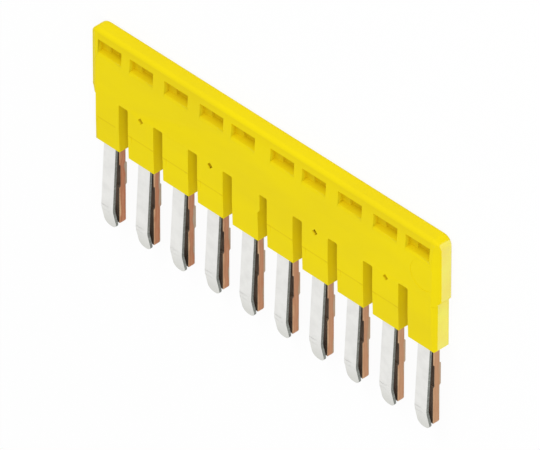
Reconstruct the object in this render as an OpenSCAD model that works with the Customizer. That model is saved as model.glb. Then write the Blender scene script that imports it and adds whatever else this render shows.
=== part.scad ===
// Plug-in jumper bar that links neighbouring rail terminal blocks, lying on its back.
// X runs along the bar, +Y points to the edge that a finger presses, and +Z out of the front face.
// Lengths are in millimetres. The origin is under the middle of the bar, on the surface it lies on.

/* [Row of contacts] */
// Number of contacts, one for each terminal block
poles = 10; // [2:1:20]
// Distance from one contact to the next
pitch = 5.1; // [4.8:0.1:8]

/* [Housing] */
// Thickness of the housing at its main front face
body_t = 2.15; // [2.05:0.05:3.5]
// Height of the head above the slots
head_h = 7.95; // [7.6:0.05:12]
// Height of the teeth below the head
tooth_h = 6.5; // [4.5:0.05:9]
// Width of the slot between two teeth
slot_w = 1.35; // [0.8:0.05:2]
// Radius of the two corners at the top of a slot
slot_r = 0.2; // [0.1:0.05:0.39]
// Length by which the head stands out past the end teeth
head_overhang = 0.6; // [0.1:0.1:1.5]
// Height of the slanted step from the head to the end teeth
overhang_slant = 0.7; // [0.3:0.1:1.5]
// How far the slanted step starts above the top of the slots
overhang_rise = 0.35; // [0:0.05:1.5]
// Radius of the head's two top corners, seen from the front
head_corner_r = 0.8; // [0.1:0.1:2]
// Radius along the top edge of the front face, seen from the end
front_edge_r = 0.5; // [0.1:0.05:0.8]
// Radius along the top edge and the two end edges of the back face
back_edge_r = 0.5; // [0.1:0.05:0.6]
// Height of the top band of the front face that leans back
band_h = 3; // [2:0.1:4]
// How far the top band leans back
band_lean = 0.12; // [0.02:0.01:0.4]
// Length of the shallow bevel at each end of the front face
end_bevel_l = 0.95; // [0.3:0.05:2]
// Depth of that bevel
end_bevel_d = 0.42; // [0.05:0.01:0.5]
// Radius of the edge between that bevel and the end face
end_edge_r = 0.2; // [0.1:0.05:0.6]
// Length of the bevel along the outer side of each end tooth, on the front face
side_bevel_l = 0.35; // [0.1:0.05:0.8]
// Depth of that bevel
side_bevel_d = 0.6; // [0.1:0.05:0.8]
// Height of the tapered lower part of each tooth
taper_h = 3.4; // [1:0.05:4]
// Depth of the taper at the bottom of a tooth
taper_d = 0.1; // [0.02:0.01:0.2]
// Depth of the faint recess at the top of the taper, on all teeth but each fifth one
recess_d = 0.05; // [0.01:0.01:0.1]
// Height of that recess
recess_h = 1.2; // [0.4:0.1:2]
// Distance from that recess to the sides of the tooth
recess_side = 0.5; // [0.2:0.05:1]
// Size of the bevels around the bottom of a tooth
tooth_bevel = 0.35; // [0.1:0.05:0.6]

/* [Windows] */
// Width of a window
window_w = 3.45; // [2:0.05:4]
// Height of a window
window_h = 1.6; // [0.9:0.05:2]
// Distance from the top edge down to the windows
window_drop = 1.25; // [0.8:0.05:2]
// Depth of a window
window_d = 0.9; // [0.4:0.05:1]
// Rise of the sill from the front face to the floor of a window
sill_rise = 0.3; // [0.05:0.05:0.5]
// Height of the shallow run-in below the sill
run_in_h = 0.45; // [0.1:0.05:0.8]
// Depth of that run-in at the sill
run_in_d = 0.08; // [0.02:0.01:0.2]
// Width of the raised pad on the left of a window's floor
pad_w = 1.2; // [0.5:0.05:1.8]
// Height of that pad above the floor
pad_h = 0.25; // [0.05:0.05:0.35]

/* [Marks on the housing] */
// Width of a dimple on the teeth, corner to corner
dimple_w = 0.8; // [0.3:0.05:1]
// Depth of a dimple
dimple_d = 0.22; // [0.05:0.01:0.3]
// Distance from the slot tops down to the dimples
dimple_drop = 0.35; // [0:0.05:1]
// Radius of the round ejector mark near the right end
ejector_r = 1.8; // [0.8:0.1:2]
// Depth of that mark
ejector_d = 0.03; // [0.02:0.01:0.1]
// Distance from the slot tops up to the middle of that mark
ejector_rise = 2.9; // [2:0.1:4]
// Distance from the head's right end to the middle of that mark
ejector_inset = 2.2; // [2:0.1:4]
// Height of the web in the middle slot
web_h = 2.4; // [0.5:0.1:3]
// Width of that web
web_w = 0.3; // [0.2:0.05:0.6]

/* [Copper comb] */
// Thickness of the comb's sheet
comb_t = 0.9; // [0.85:0.05:1.2]
// Plastic left behind the comb
back_wall = 0.25; // [0.2:0.05:0.5]
// Height of the strip that joins the legs
strip_h = 3.4; // [2:0.1:3.6]
// Distance from the slot tops up to that strip
strip_rise = 1.2; // [0.6:0.1:1.5]
// Width of a leg and of its spring leaf
leg_w = 1.72; // [1.6:0.01:2.2]
// How far a leg stands out below its tooth
leg_out = 10.05; // [6:0.05:14]
// Depth of the joggle pressed into a leg
joggle_d = 0.18; // [0.05:0.01:0.24]
// Distance from the tooth to the joggle
joggle_start = 2.3; // [1:0.1:3]
// Length of the joggle
joggle_l = 3; // [1.5:0.1:4]
// Radius of the rounded edges at the tip of a leg, seen from the side
leg_tip_r = 0.4; // [0.1:0.05:0.4]
// Radius of the two corners at the tip of a leg, seen from the front
leg_corner_r = 0.35; // [0.1:0.05:0.75]

/* [Spring leaf] */
// Thickness of the leaf's sheet
leaf_t = 0.32; // [0.25:0.01:0.4]
// How far a leaf stands out below its tooth
leaf_out = 10.45; // [6.5:0.05:15]
// Length of the leaf's root that lies flat on the comb
root_l = 2.6; // [2:0.1:4]
// Distance from the tooth's bottom up to where the leaf leaves the comb
root_rise = 2.6; // [1.5:0.1:4]
// Angle at which the leaf leaves the comb
bow_angle = 3.3; // [1:0.1:5]
// Distance from the tip up to the bend
bend_rise = 3.3; // [2:0.1:5]
// Angle from the upper stretch of the leaf to its tip
bend_angle = 16.5; // [5:0.5:17]
// Radius of the bend, on the leaf's back
bend_r = 2; // [1:0.5:8]
// Radius of the bend where the leaf leaves the comb, on the leaf's front
root_r = 8; // [2:0.5:15]
// Radius of the two corners at the tip of the leaf
leaf_tip_r = 0.75; // [0.2:0.05:0.78]

/* [Fit] */
// Play between the metal and the housing
seat_play = 0.03; // [0.01:0.01:0.1]

/* [Hidden] */
$fn = 48;
// Steps in each bend of a leaf
arc_steps = 8;

// How far a cutter reaches past the face that it cuts
over = 1;
// How far the web reaches into the plastic that carries it
root = 0.01;
// Contacts in one group of the moulded marks, which then repeat
group = 5;

// Levels along Y, from the pressed edge down to the tips
full_h = head_h + tooth_h + leaf_out;
top_y = full_h / 2;
slot_top_y = top_y - head_h;
tooth_end_y = slot_top_y - tooth_h;
taper_y = tooth_end_y + taper_h;
leg_end_y = tooth_end_y - leg_out;
leaf_end_y = tooth_end_y - leaf_out;
window_top_y = top_y - window_drop;
strip_y = slot_top_y + strip_rise;
bow_y = tooth_end_y + root_rise;

// Levels along Z, from the back face up to the front
comb_back_z = back_wall;
comb_front_z = comb_back_z + comb_t;
window_floor_z = body_t - window_d;

tooth_w = pitch - slot_w;
row_l = (poles - 1) * pitch + tooth_w;
head_l = row_l + 2 * head_overhang;
strip_l = (poles - 1) * pitch + leg_w;

yellow = [0.93, 0.84, 0.06];
copper = [0.74, 0.47, 0.34];
tin = [0.88, 0.88, 0.87];

// Place of contact i along the bar
function pole_x(i) = (i - (poles - 1) / 2) * pitch;

// Windows sit towards the middle of the bar by these steps, counted from the nearer end
window_steps = [0.55, 0.1, 0.1, 0.2, -0.3];
function steps_in(i) = min(i, poles - 1 - i, len(window_steps) - 1);
function window_x(i) = pole_x(i) + (2 * i < poles ? 1 : -1) * window_steps[steps_in(i)];

// A rectangle with its lower left corner at [x, y], with rounded corners of radius r
module round_rect(x, y, w, h, r) {
    union() {
        translate([x + r, y]) square([w - 2 * r, h]);
        translate([x, y + r]) square([w, h - 2 * r]);
        for (cx = [x + r, x + w - r])
            for (cy = [y + r, y + h - r])
                translate([cx, cy]) circle(r);
    }
}

// Extrudes an outline drawn in Y and Z along X, centred on the bar's middle
module along_x(l) {
    translate([-l / 2, 0, 0]) rotate([90, 0, 90]) linear_extrude(l) children();
}

// Extrudes an outline drawn in X and Z from y_from down to y_to
module along_y(y_from, y_to) {
    translate([0, y_from, 0]) rotate([90, 0, 0]) linear_extrude(y_from - y_to) children();
}

// Front view of the housing: the head, its slanted steps and the row of teeth as one block
module front_outline() {
    slant_y = slot_top_y + overhang_rise;
    union() {
        round_rect(-head_l / 2, slant_y, head_l, top_y - slant_y, head_corner_r);
        polygon([
            [-head_l / 2, slant_y + head_corner_r],
            [head_l / 2, slant_y + head_corner_r],
            [head_l / 2, slant_y],
            [row_l / 2, slant_y - overhang_slant],
            [row_l / 2, tooth_end_y + tooth_bevel],
            [row_l / 2 - tooth_bevel, tooth_end_y],
            [-row_l / 2 + tooth_bevel, tooth_end_y],
            [-row_l / 2, tooth_end_y + tooth_bevel],
            [-row_l / 2, slant_y - overhang_slant],
            [-head_l / 2, slant_y]
        ]);
    }
}

// End view of the housing: a leaning top band, the main face and the tapered teeth
module end_outline() {
    lean_top_z = body_t - band_lean;
    union() {
        polygon([
            [tooth_end_y + tooth_bevel, 0],
            [top_y - back_edge_r, 0],
            [top_y, back_edge_r],
            [top_y, lean_top_z - front_edge_r],
            [top_y - front_edge_r, lean_top_z],
            [top_y - band_h, body_t],
            [taper_y, body_t],
            [tooth_end_y + tooth_bevel, body_t - taper_d],
            [tooth_end_y, body_t - taper_d - tooth_bevel],
            [tooth_end_y, tooth_bevel]
        ]);
        translate([top_y - back_edge_r, back_edge_r]) circle(back_edge_r);
        translate([top_y - front_edge_r, lean_top_z - front_edge_r]) circle(front_edge_r);
    }
}

// Plan of the housing: rounded end edges and the shallow bevel at each end of the front face
module plan_outline() {
    flat_x = head_l / 2 - end_bevel_l;
    front_x = head_l / 2 - end_edge_r;
    back_x = head_l / 2 - back_edge_r;
    bevel_z = body_t - end_bevel_d;
    union() {
        polygon([
            [-back_x, 0], [back_x, 0],
            [head_l / 2, back_edge_r], [head_l / 2, bevel_z - end_edge_r],
            [front_x, bevel_z], [flat_x, body_t],
            [-flat_x, body_t], [-front_x, bevel_z],
            [-head_l / 2, bevel_z - end_edge_r], [-head_l / 2, back_edge_r]
        ]);
        for (side = [-1, 1]) {
            translate([side * back_x, back_edge_r]) circle(back_edge_r);
            translate([side * front_x, bevel_z - end_edge_r]) circle(end_edge_r);
        }
    }
}

// A slot between two teeth, rounded at its top and flared at the bottom of the teeth
module slot_cut() {
    translate([0, 0, -over]) linear_extrude(body_t + 2 * over) union() {
        round_rect(-slot_w / 2, tooth_end_y - over, slot_w, slot_top_y - tooth_end_y + over, slot_r);
        translate([-slot_w / 2, tooth_end_y - over]) square([slot_w, tooth_h / 2]);
        polygon([
            [-slot_w / 2 - tooth_bevel - over, tooth_end_y - over],
            [slot_w / 2 + tooth_bevel + over, tooth_end_y - over],
            [slot_w / 2, tooth_end_y + tooth_bevel],
            [-slot_w / 2, tooth_end_y + tooth_bevel]
        ]);
    }
}

// The faint recess at the top of a tooth's taper, whose floor meets the tapered face again
module recess_cut() {
    slope = taper_d / (taper_h - tooth_bevel);
    along_x(tooth_w - 2 * recess_side) polygon([
        [taper_y, body_t - recess_d],
        [taper_y, body_t + over],
        [taper_y - recess_h, body_t + over],
        [taper_y - recess_h, body_t - slope * recess_h]
    ]);
}

// The bevel along the outer sides of the two end teeth, below the slanted steps
module side_bevel_cut() {
    deep = side_bevel_d * (side_bevel_l + over) / side_bevel_l;
    for (side = [-1, 1])
        along_y(slot_top_y + overhang_rise - overhang_slant, tooth_end_y - over) polygon([
            [side * (row_l / 2 - side_bevel_l), body_t],
            [side * (row_l / 2 - side_bevel_l), body_t + over],
            [side * (row_l / 2 + over), body_t + over],
            [side * (row_l / 2 + over), body_t - deep]
        ]);
}

// A window: a recess with a sloping sill and a run-in below it, less the pad left on its floor
module window_cut() {
    sill_y = window_top_y - window_h;
    difference() {
        along_x(window_w) polygon([
            [window_top_y, window_floor_z],
            [window_top_y, body_t + over],
            [sill_y - run_in_h, body_t + over],
            [sill_y - run_in_h, body_t],
            [sill_y, body_t - run_in_d],
            [sill_y + sill_rise, window_floor_z]
        ]);
        translate([-window_w / 2 - over, sill_y - over, window_floor_z - over])
            cube([pad_w + over, window_h + 2 * over, pad_h + over]);
    }
}

// A small dimple with four sides, standing on one corner
module dimple_cut() {
    translate([0, 0, body_t - dimple_d]) rotate(45) linear_extrude(dimple_d + over)
        square(dimple_w / sqrt(2), center = true);
}

// The faint round mark that an ejector pin leaves
module ejector_cut() {
    translate([head_l / 2 - ejector_inset, slot_top_y + ejector_rise, body_t - ejector_d])
        cylinder(h = over, r = ejector_r);
}

// The room inside the housing for the joining strip, the legs and the roots of the leaves
module metal_room() {
    leaf_room_z = comb_front_z + leaf_t + (root_rise + tooth_bevel) * tan(bow_angle);
    translate([-strip_l / 2 - seat_play, strip_y - seat_play, comb_back_z - seat_play])
        cube([strip_l + 2 * seat_play, strip_h + 2 * seat_play, comb_t + 2 * seat_play]);
    for (i = [0 : poles - 1]) {
        translate([pole_x(i) - leg_w / 2 - seat_play, tooth_end_y - over, comb_back_z - seat_play])
            cube([leg_w + 2 * seat_play, strip_y - tooth_end_y + 2 * over, comb_t + 2 * seat_play]);
        translate([pole_x(i) - leg_w / 2 - seat_play, tooth_end_y - over, comb_front_z - over])
            cube([
                leg_w + 2 * seat_play,
                over + root_rise + root_l + seat_play,
                leaf_room_z - comb_front_z + over + 2 * seat_play
            ]);
    }
}

// A small web that stays in the middle slot, on the side of the tooth before it
module slot_web() {
    translate([-slot_w / 2 - root, 0, 0]) linear_extrude(body_t) polygon([
        [0, slot_top_y + root],
        [web_w, slot_top_y + root],
        [web_w, slot_top_y - web_h + web_w],
        [0, slot_top_y - web_h]
    ]);
}

// The moulded insulating housing, in one piece
module insulating_body() {
    color(yellow) difference() {
        union() {
            difference() {
                intersection() {
                    linear_extrude(body_t) front_outline();
                    along_x(head_l) end_outline();
                    along_y(top_y, tooth_end_y) plan_outline();
                }
                for (i = [0 : poles - 2])
                    translate([pole_x(i) + pitch / 2, 0, 0]) slot_cut();
            }
            if (poles % 2 == 0) slot_web();
        }
        for (i = [0 : poles - 1]) {
            translate([window_x(i), 0, 0]) window_cut();
            if (i % group == 1 || i % group == 3)
                translate([pole_x(i), slot_top_y - dimple_drop, 0]) dimple_cut();
            if (i % group != group - 1)
                translate([pole_x(i), 0, 0]) recess_cut();
        }
        side_bevel_cut();
        ejector_cut();
        metal_room();
    }
}

// Side view of one leg, with the joggle and the rounded tip
module leg_side() {
    joggle_top_y = tooth_end_y - joggle_start;
    joggle_end_y = joggle_top_y - joggle_l;
    root_y = strip_y + leg_w / 2;
    intersection() {
        polygon([
            [root_y, comb_back_z],
            [joggle_top_y, comb_back_z],
            [joggle_top_y - joggle_d, comb_back_z - joggle_d],
            [joggle_end_y + joggle_d, comb_back_z - joggle_d],
            [joggle_end_y, comb_back_z],
            [leg_end_y, comb_back_z],
            [leg_end_y, comb_front_z],
            [joggle_end_y, comb_front_z],
            [joggle_end_y + joggle_d, comb_front_z - joggle_d],
            [joggle_top_y - joggle_d, comb_front_z - joggle_d],
            [joggle_top_y, comb_front_z],
            [root_y, comb_front_z]
        ]);
        union() {
            translate([leg_end_y + leg_tip_r, comb_back_z - over])
                square([full_h, comb_t + 2 * over]);
            translate([leg_end_y, comb_back_z + leg_tip_r])
                square([full_h, comb_t - 2 * leg_tip_r]);
            translate([leg_end_y + leg_tip_r, comb_back_z + leg_tip_r]) circle(leg_tip_r);
            translate([leg_end_y + leg_tip_r, comb_front_z - leg_tip_r]) circle(leg_tip_r);
        }
    }
}

// One stamped copper piece: the joining strip, hidden in the head, and its legs
module copper_comb() {
    color(copper) union() {
        translate([-strip_l / 2, strip_y, comb_back_z]) cube([strip_l, strip_h, comb_t]);
        for (i = [0 : poles - 1])
            translate([pole_x(i), 0, 0]) intersection() {
                along_x(leg_w) leg_side();
                linear_extrude(body_t) round_rect(-leg_w / 2, leg_end_y, leg_w, full_h, leg_corner_r);
            }
    }
}

// Points along an arc around c, from one angle to another
function arc(c, r, from, to) =
    [for (k = [0 : arc_steps]) c + r * [cos(from + (to - from) * k / arc_steps),
                                        sin(from + (to - from) * k / arc_steps)]];

// Side view of a leaf: a flat root, a bend outwards, a long stretch, a bend inwards and the tip
module leaf_side() {
    back_z = comb_front_z + seat_play;
    long_l = (bow_y - leaf_end_y - bend_rise) / cos(bow_angle);
    tip_l = bend_rise + over;
    // Centre of the bend outwards, and the line that the leaf's back follows after it
    root_c = [bow_y, back_z + leaf_t + root_r];
    along = [-cos(bow_angle), sin(bow_angle)];
    outward = [sin(bow_angle), cos(bow_angle)];
    // Centre of the bend inwards, and the direction of the tip
    bend_c = root_c - (root_r + leaf_t) * outward + long_l * along - bend_r * outward;
    tip_from = 90 - bow_angle;
    tip_to = tip_from + bend_angle;
    tip_step = tip_l * [-sin(tip_to), cos(tip_to)];
    front = concat(
        [[bow_y + root_l, back_z + leaf_t]],
        arc(root_c, root_r, -90, -90 - bow_angle),
        arc(bend_c, bend_r + leaf_t, tip_from, tip_to)
    );
    back = concat(
        [[bow_y + root_l, back_z]],
        arc(root_c, root_r + leaf_t, -90, -90 - bow_angle),
        arc(bend_c, bend_r, tip_from, tip_to)
    );
    last = len(front) - 1;
    polygon(concat(
        front,
        [front[last] + tip_step, back[last] + tip_step],
        [for (k = [last : -1 : 0]) back[k]]
    ));
}

// One spring leaf at contact i, with rounded corners at its tip
module spring_leaf(i) {
    color(tin) translate([pole_x(i), 0, 0]) intersection() {
        along_x(leg_w) leaf_side();
        linear_extrude(body_t + over)
            round_rect(-leg_w / 2, leaf_end_y, leg_w, full_h, leaf_tip_r);
    }
}

insulating_body();
copper_comb();
for (i = [0 : poles - 1])
    spring_leaf(i);
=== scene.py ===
"""A plug-in jumper bar for rail terminal blocks: a moulded housing over a comb with sprung contacts."""
import math

import bmesh
import bpy
from bpy.props import FloatProperty, FloatVectorProperty, IntProperty, PointerProperty
from mathutils import Matrix, Vector


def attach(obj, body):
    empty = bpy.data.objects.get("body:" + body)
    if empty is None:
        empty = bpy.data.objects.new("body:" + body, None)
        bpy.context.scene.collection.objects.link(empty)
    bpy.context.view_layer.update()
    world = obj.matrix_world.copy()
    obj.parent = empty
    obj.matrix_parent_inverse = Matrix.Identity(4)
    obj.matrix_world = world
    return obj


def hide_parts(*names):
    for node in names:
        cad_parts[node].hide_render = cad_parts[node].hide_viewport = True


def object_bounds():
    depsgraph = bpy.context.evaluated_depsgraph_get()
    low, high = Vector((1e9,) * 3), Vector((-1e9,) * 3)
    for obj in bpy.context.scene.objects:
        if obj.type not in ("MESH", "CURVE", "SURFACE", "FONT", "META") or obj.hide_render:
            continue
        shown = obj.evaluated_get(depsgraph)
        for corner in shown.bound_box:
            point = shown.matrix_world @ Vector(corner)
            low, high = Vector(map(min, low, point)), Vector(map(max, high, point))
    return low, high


bl_info = {
    "name": "Terminal block jumper bar",
    "version": (1, 0, 0),
    "blender": (4, 5, 0),
    "location": "View3D > Sidebar > Jumper bar",
    "description": "Dresses the parts of a plug-in jumper bar for rail terminal blocks",
    "category": "Object",
}

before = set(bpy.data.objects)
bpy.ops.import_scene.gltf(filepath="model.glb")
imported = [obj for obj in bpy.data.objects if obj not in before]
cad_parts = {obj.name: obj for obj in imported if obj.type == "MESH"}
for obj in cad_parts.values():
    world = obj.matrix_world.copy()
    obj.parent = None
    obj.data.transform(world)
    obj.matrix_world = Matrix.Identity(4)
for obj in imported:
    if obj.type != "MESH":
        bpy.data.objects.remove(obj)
frame_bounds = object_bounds()

MM = 0.001
# Tips of the contacts, and the front of the housing
TIPS_MM = frame_bounds[0][1] / MM
FRONT_MM = frame_bounds[1][2] / MM
# Length of the painted shade that darkens a leaf towards its tip
TIP_MM = 3.6
# Bottom and top of the windows, of the dimples and of the faint recesses on the teeth
WINDOW_MM = (9.15, 11.2)
DIMPLE_MM = (3.7, 4.6)
RECESS_MM = (0.2, 1.4)
WINDOW_DEPTH_MM = 0.9
DIMPLE_DEPTH_MM = 0.25
# How far behind the front a face lies at least to count as sunk
SUNK_MM = 0.02
# Height below which a sunk face belongs to the back
BACK_MM = 0.5
# Height of the front edge of the leaning top band, and the radius of the edges along the head
BAND_EDGE_MM = 2.03
HEAD_EDGE_MM = 0.5
# How much a face looks along an axis, from 0 to 1, to count as one of these
POLISHED_SIDEWAYS = 0.88
CORNER_SIDEWAYS = 0.75
RECESS_FORWARD = 0.9
COMB_FLAT = 0.6
LEAF_SIDEWAYS = 0.7
LEAF_BACKWARD = 0.3
# Distance below which points are welded, and below which a point lies on a cut
WELD_MM = 0.0005
CUT_MM = 0.0001
# Angle below which two faces are one flat face
FLAT_ANGLE = math.radians(0.5)
# Angle from which an edge is a corner, and from which two edges count as one line
CORNER_ANGLE = math.radians(20)
STRAIGHT_ANGLE = math.radians(150)
# Room that a rounding needs, in times its width: across a face, and along the edge beside it
ROOM_ACROSS = 2.0
ROOM_ALONG = 1.3
# Shares of the full width at which corners are rounded, one after the other
ROUND_SHARES = (1.0, 0.4)
# Weight of large faces in the smooth normals
FACE_WEIGHT = 80
# The frame's leaves in the order of their numbers, from the left end of the bar
LEAF_NODES = sorted(
    (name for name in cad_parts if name.startswith("spring_leaf_")),
    key=lambda name: int(name.rsplit("_", 1)[1]),
)


class HousingSettings(bpy.types.PropertyGroup):
    """Sizes and colours of the moulded housing."""

    edge_round: FloatProperty(
        name="Edge rounding", description="Width asked of the bevel along the moulded edges",
        default=0.15 * MM, min=0.0, unit="LENGTH", precision=6)
    round_steps: IntProperty(
        name="Rounding steps", description="Faces across each rounded edge", default=3, min=1, max=6)
    corner_round: FloatProperty(
        name="Corner rounding", description="Radius of the two upper corners of the head",
        default=1.2 * MM, min=0.8 * MM, unit="LENGTH", precision=5)
    corner_steps: IntProperty(
        name="Corner steps", description="Cuts made along each side of a rounded corner",
        default=5, min=2, max=10)
    base: FloatVectorProperty(
        name="Plastic", description="Main colour of the plastic",
        default=(0.83, 0.67, 0.003), size=3, min=0.0, max=1.0, subtype="COLOR")
    deep: FloatVectorProperty(
        name="Deep plastic", description="Colour of the plastic where the melt flowed together",
        default=(0.79, 0.63, 0.006), size=3, min=0.0, max=1.0, subtype="COLOR")
    # Painted shade: this colour darkens the deep parts of the windows and the dimples, and a thin line
    # under the upper edge of each faint recess
    painted_hollow_shade: FloatVectorProperty(
        name="Painted hollow shade",
        description="Colour of the rougher plastic deep in the windows and the dimples",
        default=(0.60, 0.39, 0.002), size=3, min=0.0, max=1.0, subtype="COLOR")
    # Painted highlight: this paler yellow on the rounded edges stands in for the light that they catch
    painted_edge_highlight: FloatVectorProperty(
        name="Painted edge highlight", description="Colour of the plastic along its rubbed edges",
        default=(0.92, 0.76, 0.012), size=3, min=0.0, max=1.0, subtype="COLOR")
    # Painted sheen: this colour is paler than the plastic and stands in for the light that the end faces
    # reflect; their coat adds a real gloss as well
    polished: FloatVectorProperty(
        name="Polished plastic with painted sheen", description="Colour of the plastic on the polished end faces",
        default=(0.85, 0.79, 0.02), size=3, min=0.0, max=1.0, subtype="COLOR")
    end_length: FloatProperty(
        name="Polished ends",
        description="How far from the bar's ends a wall counts as a polished end face",
        default=1.2 * MM, min=0.0, unit="LENGTH", precision=5)
    grain: FloatProperty(
        name="Grain", description="Size of the grain of the mould's surface",
        default=0.12 * MM, min=0.01 * MM, unit="LENGTH", precision=6)


class MetalSettings(bpy.types.PropertyGroup):
    """Sizes and colours of the comb and the spring leaves."""

    edge_round: FloatProperty(
        name="Edge rounding", description="Width asked of the bevel along the stamped edges",
        default=0.06 * MM, min=0.0, unit="LENGTH", precision=6)
    round_steps: IntProperty(
        name="Rounding steps", description="Faces across each rounded edge", default=2, min=1, max=6)
    tin: FloatVectorProperty(
        name="Tin", description="Colour of the bright tin on the leaves",
        default=(0.81, 0.805, 0.78), size=3, min=0.0, max=1.0, subtype="COLOR")
    # Painted shade: the leaves turn darker towards their tips, standing in for the darker surroundings
    # that the bent tips reflect
    painted_tip_shade_tin: FloatVectorProperty(
        name="Painted tip shade",
        description="Colour of the tin at the tips, where the leaves rub in the sockets",
        default=(0.66, 0.66, 0.62), size=3, min=0.0, max=1.0, subtype="COLOR")
    # Painted highlight: this whiter tin on the leaves' rounded edges stands in for the light that they
    # catch
    tin_painted_highlight: FloatVectorProperty(
        name="Painted tin highlight", description="Colour of the tin along the rounded edges of the leaves",
        default=(0.93, 0.93, 0.92), size=3, min=0.0, max=1.0, subtype="COLOR")
    # Partly painted shade: the cut edges are dull stamped tin made darker to stand in for the shade cast
    # by the neighbouring leaves and legs
    dull_and_shaded_tin: FloatVectorProperty(
        name="Dull and shaded tin", description="Colour of the tin on the cut edges of the leaves",
        default=(0.21, 0.22, 0.20), size=3, min=0.0, max=1.0, subtype="COLOR")
    # Painted shade: this colour stands in for the shade in the gap between the leaves and the legs
    painted_gap_shade_tin: FloatVectorProperty(
        name="Painted gap shade", description="Colour of the tarnished tin between the leaves and the legs",
        default=(0.34, 0.26, 0.20), size=3, min=0.0, max=1.0, subtype="COLOR")
    comb_tin: FloatVectorProperty(
        name="Comb tin", description="Colour of the tin on the back of the comb",
        default=(0.70, 0.66, 0.58), size=3, min=0.0, max=1.0, subtype="COLOR")
    stained_tin: FloatVectorProperty(
        name="Stained tin", description="Colour of the copper's stains in the tin of the comb",
        default=(0.58, 0.50, 0.40), size=3, min=0.0, max=1.0, subtype="COLOR")
    copper: FloatVectorProperty(
        name="Copper", description="Colour of the bare copper in the middle of the cut faces",
        default=(0.42, 0.145, 0.065), size=3, min=0.0, max=1.0, subtype="COLOR")
    pink_copper: FloatVectorProperty(
        name="Pink copper", description="Colour of the copper where the sheet broke off",
        default=(0.50, 0.22, 0.12), size=3, min=0.0, max=1.0, subtype="COLOR")
    pale_copper: FloatVectorProperty(
        name="Pale copper", description="Colour of the copper where the punch smeared it",
        default=(0.66, 0.43, 0.245), size=3, min=0.0, max=1.0, subtype="COLOR")
    skin: FloatVectorProperty(
        name="Skin", description="Colour of the tin that the punch dragged over the copper",
        default=(0.40, 0.34, 0.26), size=3, min=0.0, max=1.0, subtype="COLOR")
    pale_middle: FloatProperty(
        name="Pale middle", description="Share of pale copper on the legs in the middle of the bar",
        default=0.25, min=0.0, max=1.0)
    pale_rise: FloatProperty(
        name="Pale rise", description="How much that share grows from the middle to the right end",
        default=0.25, min=0.0, max=1.0)


class StageSettings(bpy.types.PropertyGroup):
    """The floor, the lights and the camera."""

    camera_distance: FloatProperty(
        name="Camera distance", description="Distance from the camera to the bar",
        default=1.8, min=0.1, unit="LENGTH")
    view_width: FloatProperty(
        name="View width", description="Width of the picture at the bar",
        default=54.68 * MM, min=0.001, unit="LENGTH", precision=5)
    floor_size: FloatProperty(
        name="Floor size", description="Length of a side of the floor",
        default=0.6, min=0.1, unit="LENGTH")
    floor_white: FloatProperty(
        name="Floor white", description="Share of plain white that the camera sees on the floor",
        default=0.92, min=0.0, max=1.0)
    key_power: FloatProperty(
        name="Key light", description="Power of the key light", default=1.2, min=0.0, unit="POWER")
    side_power: FloatProperty(
        name="Side light", description="Power of the side light", default=0.9, min=0.0, unit="POWER")
    world_level: FloatProperty(
        name="World light", description="Strength of the light from all round",
        default=0.74, min=0.0)


class Wire:
    """An output socket that adds Math nodes when it is used in an expression."""

    def __init__(self, shader, socket):
        self.shader = shader
        self.socket = socket

    def math(self, operation, *operands):
        inputs = dict(enumerate(operands))
        return self.shader.node("ShaderNodeMath", {"operation": operation}, inputs)

    def __add__(self, other):
        return self.math("ADD", self, other)

    def __sub__(self, other):
        return self.math("SUBTRACT", self, other)

    def __mul__(self, other):
        return self.math("MULTIPLY", self, other)

    def __rsub__(self, other):
        return self.math("SUBTRACT", other, self)

    __radd__ = __add__
    __rmul__ = __mul__


class Shader:
    """A node tree with one method that adds any node to it."""

    def __init__(self, tree):
        self.tree = tree
        self.tree.nodes.clear()

    def node(self, kind, settings=None, inputs=None, output=0):
        made = self.tree.nodes.new(kind)
        for key, value in (settings or {}).items():
            if key == "stops":
                self.set_stops(made.color_ramp, value)
            else:
                setattr(made, key, value)
        for key, value in (inputs or {}).items():
            if isinstance(value, Wire):
                self.tree.links.new(value.socket, made.inputs[key])
            else:
                made.inputs[key].default_value = value
        return Wire(self, made.outputs[output]) if made.outputs else None

    @staticmethod
    def set_stops(ramp, stops):
        while len(ramp.elements) < len(stops):
            ramp.elements.new(0.5)
        for element, (place, colour) in zip(ramp.elements, stops):
            element.position = place
            element.color = with_alpha((colour,) * 3 if isinstance(colour, float) else colour)

    def place_mm(self, stretch=(1.0, 1.0, 1.0)):
        """The place on the object in millimetres, stretched along the three axes."""
        place = self.node("ShaderNodeTexCoord", output="Object")
        scale = tuple(1.0 / MM / s for s in stretch)
        return self.node("ShaderNodeMapping", inputs={"Vector": place, "Scale": scale})

    def along(self, axis):
        """The place on the object in millimetres along one axis: 0 for X, 1 for Y, 2 for Z."""
        return self.node("ShaderNodeSeparateXYZ", inputs={"Vector": self.place_mm()}, output=axis)

    def noise(self, place, scale, detail=2.0, rough=0.5):
        return self.node("ShaderNodeTexNoise", inputs={
            "Vector": place, "Scale": scale, "Detail": detail, "Roughness": rough})

    def ramp(self, value, *stops):
        return self.node("ShaderNodeValToRGB", {"stops": stops}, {"Fac": value})

    def blend(self, mask, first, second):
        return self.node("ShaderNodeMix", {"data_type": "RGBA"}, {
            0: mask, 6: with_alpha(first), 7: with_alpha(second)}, output=2)

    def bump(self, height, distance, strength, **under):
        """A bump over the Normal given in under, or over the plain surface."""
        return self.node("ShaderNodeBump", inputs={
            "Height": height, "Distance": distance, "Strength": strength, **under})


def with_alpha(colour):
    return colour if isinstance(colour, Wire) else (*colour, 1.0)


def toned(colour, level):
    """The colour made darker or paler."""
    return tuple(min(1.0, level * part) for part in colour)


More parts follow.
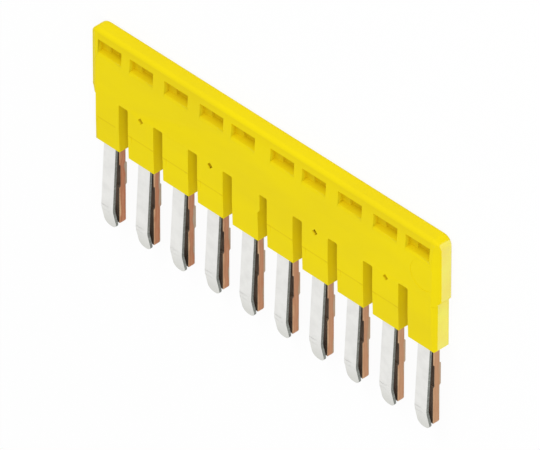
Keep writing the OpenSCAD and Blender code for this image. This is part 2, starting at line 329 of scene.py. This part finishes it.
def new_material(name, **inputs):
    """A material with one Principled shader, whose inputs are values or functions of the Shader."""
    material = bpy.data.materials.new(name)
    material.use_nodes = True
    shader = Shader(material.node_tree)
    values = {}
    for key, value in inputs.items():
        values[key.replace("_", " ")] = value(shader) if callable(value) else value
    surface = shader.node("ShaderNodeBsdfPrincipled", inputs=values)
    shader.node("ShaderNodeOutputMaterial", inputs={"Surface": surface})
    return material


def plastic_material(settings, name, tones, shade=None, **sheen):
    """Satin plastic in two tones with the mould's fine grain, darkened by painted shade where a shade
    mask is given.
    """

    def colour(shader):
        flow = shader.noise(shader.place_mm((6.0, 2.0, 2.0)), 0.5, 3.0)
        plain = shader.blend(shader.ramp(flow, (0.35, 0.0), (0.7, 1.0)), *tones)
        return shader.blend(shade(shader), plain, settings.painted_hollow_shade) if shade else plain

    def roughness(shader):
        patches = shader.noise(shader.place_mm(), 0.8, 3.0)
        return 0.42 + 0.12 * patches

    def normal(shader):
        grain = shader.noise(shader.place_mm(), MM / settings.grain, 2.0)
        sink = shader.noise(shader.place_mm((3.0, 3.0, 3.0)), 1.0, 1.0)
        fine = shader.bump(grain, 0.004 * MM, 0.35)
        return shader.bump(sink, 0.03 * MM, 0.3, Normal=fine)

    return new_material(name, Base_Color=colour, Roughness=roughness, Normal=normal, IOR=1.5, **sheen)


def window_shade(shader):
    """Painted shade, full on a window's floor under its upper lip, and none where its sill meets the
    front.
    """
    depth = (FRONT_MM - shader.along(2)) * (1.0 / WINDOW_DEPTH_MM)
    low, high = WINDOW_MM
    return depth * (0.45 + (shader.along(1) - low) * (0.6 / (high - low)))


def dimple_shade(shader):
    """Painted shade that grows with the depth in a dimple."""
    return (FRONT_MM - shader.along(2)) * (1.0 / DIMPLE_DEPTH_MM)


def recess_shade(shader):
    """A thin line of painted shade along the upper edge of a tooth's faint recess."""
    low, high = RECESS_MM
    return 0.6 - (high - shader.along(1)) * 2.5


def metal_material(name, colour, roughness, normal):
    return new_material(name, Base_Color=colour, Roughness=roughness, Normal=normal, Metallic=1.0)


def tin_material(settings):
    """Bright tin with fine rolling lines along the leaf, and painted shade that darkens it towards the
    tip.
    """

    def lines(shader):
        return shader.noise(shader.place_mm((0.05, 4.0, 4.0)), 1.0, 3.0)

    def colour(shader):
        cloud = shader.noise(shader.place_mm(), 0.9, 3.0)
        mask = shader.ramp(cloud, (0.4, 0.0), (0.75, 1.0))
        clouded = shader.blend(mask, settings.tin, toned(settings.tin, 0.92))
        # Painted shade, growing towards the tip
        from_tip = (shader.along(1) - TIPS_MM) * (1.0 / TIP_MM) + 0.15 * cloud
        return shader.blend(shader.ramp(from_tip, (0.1, 1.0), (1.0, 0.0)), clouded, settings.painted_tip_shade_tin)

    def roughness(shader):
        return 0.30 + 0.14 * lines(shader)

    def normal(shader):
        return shader.bump(lines(shader), 0.004 * MM, 0.5)

    return metal_material("bright_tin", colour, roughness, normal)


def leaf_edge_material(settings):
    """The stamped edge of a leaf: dull stamped tin, darker still from painted shade, with drag lines
    across its thickness.
    """

    def colour(shader):
        drag = shader.noise(shader.place_mm((1.0, 0.12, 1.0)), 1.5, 3.0)
        mask = shader.ramp(drag, (0.45, 0.0), (0.72, 1.0))
        return shader.blend(mask, settings.dull_and_shaded_tin, toned(settings.dull_and_shaded_tin, 1.8))

    def roughness(shader):
        return 0.42 + 0.2 * shader.noise(shader.place_mm(), 4.0, 2.0)

    def normal(shader):
        lines = shader.noise(shader.place_mm((1.0, 0.08, 1.0)), 2.0, 3.0)
        return shader.bump(lines, 0.01 * MM, 0.5)

    return metal_material("stamped_tin_edge_painted_shade", colour, roughness, normal)


def plain_tin_material(name, first, second, level):
    """Tin in two mixed tones and of an even roughness."""

    def colour(shader):
        cloud = shader.noise(shader.place_mm((1.0, 3.0, 1.0)), 1.2, 3.0)
        return shader.blend(shader.ramp(cloud, (0.35, 0.0), (0.7, 1.0)), first, second)

    def roughness(shader):
        return level + 0.14 * shader.noise(shader.place_mm((0.1, 3.0, 1.0)), 1.5, 3.0)

    def normal(shader):
        lines = shader.noise(shader.place_mm((0.08, 3.0, 1.0)), 1.5, 3.0)
        return shader.bump(lines, 0.005 * MM, 0.4)

    return metal_material(name, colour, roughness, normal)


def copper_material(settings):
    """Bare copper on the cut faces of the comb, in bands along each leg, paler leg by leg."""

    def streaks(shader):
        return shader.noise(shader.place_mm((1.0, 3.0, 0.5)), 1.6, 4.0, 0.6)

    def colour(shader):
        wobble = shader.noise(shader.place_mm((1.0, 2.5, 1.0)), 0.9, 2.0)
        depth = shader.along(2) * 0.8 + wobble * 0.5 + streaks(shader) * 0.5 - 0.6
        bands = shader.ramp(
            depth, (0.08, settings.skin), (0.22, settings.copper), (0.45, settings.pink_copper),
            (0.58, settings.copper), (0.85, settings.pale_copper))
        along_bar = shader.along(0) * (settings.pale_rise * MM / frame_bounds[1][0])
        return shader.blend(settings.pale_middle + along_bar, bands, settings.pale_copper)

    def roughness(shader):
        return 0.52 - 0.16 * streaks(shader)

    def normal(shader):
        drag = shader.noise(shader.place_mm((1.0, 0.3, 1.2)), 1.8, 4.0)
        return shader.bump(drag, 0.02 * MM, 0.6)

    return metal_material("cut_copper", colour, roughness, normal)


def has_room(edge, width):
    """Whether an edge can be rounded to this width without reaching what lies beside it."""
    start, end = (vert.co for vert in edge.verts)
    along = (end - start).normalized()
    for loop in edge.link_loops:
        far = max((vert.co - start).cross(along).length for vert in loop.face.verts)
        if far < ROOM_ACROSS * width:
            return False
        used = 0.0
        after = loop.link_loop_next
        for corner, beside in ((loop, loop.link_loop_prev.edge), (after, after.edge)):
            angle = corner.calc_angle()
            used += width / math.tan(angle / 2.0)
            room = beside.calc_length() * math.sin(angle)
            if angle < STRAIGHT_ANGLE and room < ROOM_ALONG * width:
                return False
        if edge.calc_length() < used:
            return False
    return True


def is_corner(edge):
    return len(edge.link_faces) == 2 and edge.calc_face_angle(0.0) > CORNER_ANGLE


def round_corners(bm, settings, slot):
    """Bevels the corners that have room for the full width, then the others that have room for less.

    The clamp holds every width on a piece down to its tightest place. On this bar that leaves less than
    a thousandth of a millimetre, so the corners still look sharp."""
    made = set()
    for share in ROUND_SHARES:
        width = share * settings.edge_round
        left = [edge for edge in bm.edges if is_corner(edge) and made.isdisjoint(edge.link_faces)]
        made.update(bmesh.ops.bevel(
            bm, geom=[edge for edge in left if has_room(edge, width)], offset=width, offset_type="OFFSET",
            segments=settings.round_steps, profile=0.5, affect="EDGES", clamp_overlap=True,
            material=slot)["faces"])
    for edge in bm.edges:
        edge.smooth = not is_corner(edge) or not made.isdisjoint(edge.link_faces)


def cut_faces(bm, place, axis, chosen):
    """Cuts the chosen faces along the plane at this place on one axis."""
    faces = [face for face in bm.faces if chosen(face.calc_center_median())]
    edges = {edge for face in faces for edge in face.edges}
    verts = {vert for face in faces for vert in face.verts}
    bmesh.ops.bisect_plane(
        bm, geom=[*verts, *edges, *faces], dist=CUT_MM * MM,
        plane_co=[place * (i == axis) for i in range(3)], plane_no=[float(i == axis) for i in range(3)])


def round_head_corners(bm, settings):
    """Rounds the two upper corners of the head, and the edges around them, as one soft form."""
    radius = settings.corner_round
    edge = HEAD_EDGE_MM * MM
    front = BAND_EDGE_MM * MM
    start = Vector(frame_bounds[1][:2]) - Vector((radius, radius))
    for side in (-1, 1):
        cut_faces(bm, side * start.x, 0, lambda middle: True)
    cut_faces(bm, start.y, 1, lambda middle: abs(middle.x) > start.x)
    for step in range(1, settings.corner_steps):
        share = step / settings.corner_steps
        places = [(side * (start.x + share * radius), 0) for side in (-1, 1)]
        places += [(start.y + share * radius, 1), (share * edge, 2), (front - share * edge, 2)]
        for place, axis in places:
            cut_faces(bm, place, axis, lambda middle: abs(middle.x) > start.x and middle.y > start.y)
    for vert in bm.verts:
        reach = Vector((abs(vert.co.x), vert.co.y)) - start
        depth = min(vert.co.z, front - vert.co.z, edge)
        if min(reach) <= 0.0 or depth < 0.0:
            continue
        limit = radius - edge + math.sqrt(edge ** 2 - (edge - depth) ** 2)
        if reach.length > limit:
            reach *= limit / reach.length
            vert.co.x = math.copysign(start.x + reach.x, vert.co.x)
            vert.co.y = start.y + reach.y
    bm.normal_update()


def dressed_copy(node, name, finishes, finish_of, settings, edge_finish=None, shape=None):
    """A copy of a frame node with welded points, bevelled corners and one of the finishes on each face.

    finish_of names the finish of a face, edge_finish the one of the bevels, and shape is a function
    that changes the form before the corners are bevelled."""
    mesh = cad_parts[node].data.copy()
    mesh.name = name
    piece = bpy.data.objects.new(name, mesh)
    bpy.context.scene.collection.objects.link(piece)
    mesh.materials.clear()
    for material in finishes.values():
        mesh.materials.append(material)
    slots = {finish: number for number, finish in enumerate(finishes)}
    bm = bmesh.new()
    bm.from_mesh(mesh)
    bmesh.ops.remove_doubles(bm, verts=bm.verts, dist=WELD_MM * MM)
    bmesh.ops.dissolve_limit(bm, angle_limit=FLAT_ANGLE, verts=bm.verts, edges=bm.edges)
    bm.normal_update()
    if shape:
        shape(bm, settings)
    for face in bm.faces:
        face.material_index = slots[finish_of(face)]
        face.smooth = True
    round_corners(bm, settings, slots.get(edge_finish, -1))
    bm.to_mesh(mesh)
    bm.free()
    weighted = piece.modifiers.new("Weighted normals", "WEIGHTED_NORMAL")
    weighted.keep_sharp = True
    weighted.weight = FACE_WEIGHT
    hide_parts(node)
    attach(piece, "root")
    return piece


class JUMPER_OT_housing(bpy.types.Operator):
    """Dresses the moulded housing"""

    bl_idname = "jumper.housing"
    bl_label = "Housing"

    def execute(self, context):
        settings = context.scene.jumper_housing
        plain = (settings.base, settings.deep)
        # The ends are glossy under a coat and carry a painted sheen in their paler colour
        polished = (settings.polished, settings.base)
        # Tones of the painted highlight along the rounded edges
        edge_highlight_tones = (settings.painted_edge_highlight, settings.base)
        matt = {"Specular_IOR_Level": 0.04}
        gloss = {"Specular_IOR_Level": 0.12, "Coat_Weight": 1.0, "Coat_IOR": 2.0, "Coat_Roughness": 0.15}
        finishes = {
            "plain": plastic_material(settings, "housing_plastic", plain, **matt),
            "polished": plastic_material(settings, "polished_end_painted_sheen_plastic", polished, **gloss),
            "edge": plastic_material(settings, "edge_highlight_plastic", edge_highlight_tones, Specular_IOR_Level=0.2),
            # The window, dimple and recess finishes mix painted shade into the plastic's colour
            "window": plastic_material(settings, "window_painted_shade_plastic", plain, window_shade, **matt),
            "dimple": plastic_material(settings, "dimple_painted_shade_plastic", plain, dimple_shade, **matt),
            "recess": plastic_material(settings, "recess_painted_shade_plastic", plain, recess_shade, **matt),
        }
        end_x = frame_bounds[1][0] - settings.end_length
        corner_y = frame_bounds[1][1] - settings.corner_round

        def finish_of(face):
            middle = face.calc_center_median()
            y_mm, z_mm = middle.y / MM, middle.z / MM
            # Walls at the ends that face sideways get the glossy finish with the painted sheen
            if abs(middle.x) > end_x:
                sideways = POLISHED_SIDEWAYS if middle.y < corner_y else CORNER_SIDEWAYS
                return "polished" if abs(face.normal.x) > sideways else "plain"
            if z_mm > FRONT_MM - SUNK_MM:
                return "plain"
            # Sunk faces in the windows and the dimples, and the recesses' front faces, get painted shade
            if WINDOW_MM[0] < y_mm < WINDOW_MM[1] and z_mm > BACK_MM:
                return "window"
            if DIMPLE_MM[0] < y_mm < DIMPLE_MM[1] and z_mm > FRONT_MM - DIMPLE_DEPTH_MM:
                return "dimple"
            if RECESS_MM[0] < y_mm < RECESS_MM[1] and face.normal.z > RECESS_FORWARD:
                return "recess"
            return "plain"

        # The bevels take the edge finish with its painted highlight
        piece = dressed_copy(
            "insulating_body", "housing_shell", finishes, finish_of, settings,
            edge_finish="edge", shape=round_head_corners)
        return {"FINISHED"}


class JUMPER_OT_comb(bpy.types.Operator):
    """Dresses the copper comb, tinned on its broad faces and bare on its cut ones, with painted shade on
    its front faces in the gap behind the leaves
    """

    bl_idname = "jumper.comb"
    bl_label = "Copper comb"

    def execute(self, context):
        settings = context.scene.jumper_metal
        darker = toned(settings.painted_gap_shade_tin, 0.6)
        finishes = {
            "cut": copper_material(settings),
            "back": plain_tin_material("comb_tin", settings.comb_tin, settings.stained_tin, 0.34),
            # The comb's front faces lie in the gap behind the leaves and get painted shade
            "front": plain_tin_material("comb_front_painted_gap_shade", settings.painted_gap_shade_tin, darker, 0.5),
        }

        def finish_of(face):
            if abs(face.normal.z) < COMB_FLAT:
                return "cut"
            return "back" if face.normal.z < 0.0 else "front"

        piece = dressed_copy("copper_comb", "contact_comb", finishes, finish_of, settings)
        return {"FINISHED"}


class JUMPER_OT_leaves(bpy.types.Operator):
    """Dresses the spring leaves, bright on their faces, with painted shade towards the tips, on their
    stamped edges and on their backs, and painted highlights along their rounded edges
    """

    bl_idname = "jumper.leaves"
    bl_label = "Spring leaves"

    def execute(self, context):
        settings = context.scene.jumper_metal
        darker = toned(settings.painted_gap_shade_tin, 0.6)
        paler = toned(settings.tin_painted_highlight, 1.05)
        finishes = {
            "face": tin_material(settings),
            "side": leaf_edge_material(settings),
            # The backs of the leaves face the gap and get painted shade
            "back": plain_tin_material("leaf_back_painted_gap_shade", settings.painted_gap_shade_tin, darker, 0.5),
            # The rounded edges of the leaves get the painted highlight
            "edge": plain_tin_material("tin_painted_highlight", settings.tin_painted_highlight, paler, 0.25),
        }

        def finish_of(face):
            if abs(face.normal.x) > LEAF_SIDEWAYS:
                return "side"
            return "face" if face.normal.z > -LEAF_BACKWARD else "back"

        for number, node in enumerate(LEAF_NODES, 1):
            piece = dressed_copy(
                node, f"contact_leaf_{number}", finishes, finish_of, settings, edge_finish="edge")
        return {"FINISHED"}


def area_light(name, place, size, power):
    """A square soft light at place that faces the bar."""
    light = bpy.data.lights.new(name, "AREA")
    light.energy = power
    light.size = size
    lamp = bpy.data.objects.new(name, light)
    bpy.context.scene.collection.objects.link(lamp)
    lamp.location = place
    lamp.rotation_euler = (-Vector(place)).to_track_quat("-Z", "Y").to_euler()


def seen_plainly(shader):
    """1 for rays that show the surroundings to the camera, in metal or through glass, else 0."""
    paths = [shader.node("ShaderNodeLightPath", output=name)
             for name in ("Is Camera Ray", "Is Glossy Ray", "Is Transmission Ray")]
    total = paths[0] + paths[1] + paths[2]
    return total.math("MINIMUM", total, 1.0)


# Where the photograph's camera stands: turned from the front (+Z) towards +X, then raised towards +Y
CAMERA_AZIMUTH = math.radians(46.1)
CAMERA_ELEVATION = math.radians(37.8)
SENSOR_WIDTH_MM = 36.0
# Distances between which the camera sees
CLIP_RANGE = (0.1, 20.0)
# Width of the picture in pixels, and the pixels of its middle and of the middle of the bar's box
PICTURE_WIDTH = 540.0
PICTURE_MIDDLE = (270.0, 225.0)
BAR_MIDDLE = (269.75, 226.95)
# Places and widths of the two lights
KEY_PLACE = (-0.1, 0.6, 0.32)
KEY_SIZE = 0.3
SIDE_PLACE = (0.42, 0.12, 0.38)
SIDE_SIZE = 0.25
WHITE = (1.0, 1.0, 1.0, 1.0)
PAPER = (0.92, 0.92, 0.92, 1.0)


class JUMPER_OT_stage(bpy.types.Operator):
    """Sets up the floor, the lights and the camera"""

    bl_idname = "jumper.stage"
    bl_label = "Stage"

    def execute(self, context):
        settings = context.scene.jumper_stage
        self.add_floor(settings)
        self.add_lights(settings)
        self.add_camera(context, settings)
        context.scene.view_settings.view_transform = "Standard"
        return {"FINISHED"}

    @staticmethod
    def add_floor(settings):
        mesh = bpy.data.meshes.new("floor")
        bm = bmesh.new()
        bmesh.ops.create_grid(bm, x_segments=1, y_segments=1, size=settings.floor_size / 2)
        bm.to_mesh(mesh)
        bm.free()
        floor = bpy.data.objects.new("floor", mesh)
        bpy.context.scene.collection.objects.link(floor)
        material = bpy.data.materials.new("floor_paper")
        material.use_nodes = True
        shader = Shader(material.node_tree)
        paper = shader.node("ShaderNodeBsdfDiffuse", inputs={"Color": PAPER})
        white = shader.node("ShaderNodeEmission", inputs={"Color": WHITE, "Strength": 1.0})
        share = seen_plainly(shader) * settings.floor_white
        surface = shader.node("ShaderNodeMixShader", inputs={0: share, 1: paper, 2: white})
        shader.node("ShaderNodeOutputMaterial", inputs={"Surface": surface})
        mesh.materials.append(material)

    @staticmethod
    def add_lights(settings):
        world = bpy.data.worlds.new("studio")
        bpy.context.scene.world = world
        world.use_nodes = True
        shader = Shader(world.node_tree)
        seen = seen_plainly(shader)
        level = settings.world_level + seen * (1.0 - settings.world_level)
        sky = shader.node("ShaderNodeBackground", inputs={"Color": WHITE, "Strength": level})
        shader.node("ShaderNodeOutputWorld", inputs={"Surface": sky})
        area_light("key", KEY_PLACE, KEY_SIZE, settings.key_power)
        area_light("side", SIDE_PLACE, SIDE_SIZE, settings.side_power)

    @staticmethod
    def add_camera(context, settings):
        sin_a, cos_a = math.sin(CAMERA_AZIMUTH), math.cos(CAMERA_AZIMUTH)
        sin_e, cos_e = math.sin(CAMERA_ELEVATION), math.cos(CAMERA_ELEVATION)
        toward = Vector((sin_a * cos_e, sin_e, cos_a * cos_e))
        right = Vector((cos_a, 0.0, -sin_a))
        up = toward.cross(right)
        low, high = (Vector(corner) for corner in frame_bounds)
        pixel = settings.view_width / PICTURE_WIDTH
        aim = (low + high) / 2
        aim += right * pixel * (PICTURE_MIDDLE[0] - BAR_MIDDLE[0])
        aim += up * pixel * (BAR_MIDDLE[1] - PICTURE_MIDDLE[1])
        camera = bpy.data.cameras.new("camera")
        camera.sensor_width = SENSOR_WIDTH_MM
        camera.lens = camera.sensor_width * settings.camera_distance / settings.view_width
        camera.clip_start, camera.clip_end = CLIP_RANGE
        eye = bpy.data.objects.new("camera", camera)
        context.scene.collection.objects.link(eye)
        turn = Matrix((right, up, toward)).transposed()
        place = aim + toward * settings.camera_distance
        eye.matrix_world = Matrix.Translation(place) @ turn.to_4x4()
        context.scene.camera = eye


class JUMPER_PT_panel(bpy.types.Panel):
    """Lists the steps that dress the bar"""

    bl_label = "Jumper bar"
    bl_idname = "JUMPER_PT_panel"
    bl_space_type = "VIEW_3D"
    bl_region_type = "UI"
    bl_category = "Jumper bar"

    def draw(self, context):
        for operator in OPERATORS:
            self.layout.operator(operator.bl_idname)


OPERATORS = (JUMPER_OT_housing, JUMPER_OT_comb, JUMPER_OT_leaves, JUMPER_OT_stage)
SETTINGS = {
    "jumper_housing": HousingSettings,
    "jumper_metal": MetalSettings,
    "jumper_stage": StageSettings,
}
CLASSES = (*SETTINGS.values(), *OPERATORS, JUMPER_PT_panel)


def register():
    for item in CLASSES:
        bpy.utils.register_class(item)
    for name, group in SETTINGS.items():
        setattr(bpy.types.Scene, name, PointerProperty(type=group))


def unregister():
    for name in SETTINGS:
        delattr(bpy.types.Scene, name)
    for item in reversed(CLASSES):
        bpy.utils.unregister_class(item)


def main():
    register()
    bpy.ops.jumper.housing()
    bpy.ops.jumper.comb()
    bpy.ops.jumper.leaves()
    bpy.ops.jumper.stage()


if __name__ == "__main__":
    main()
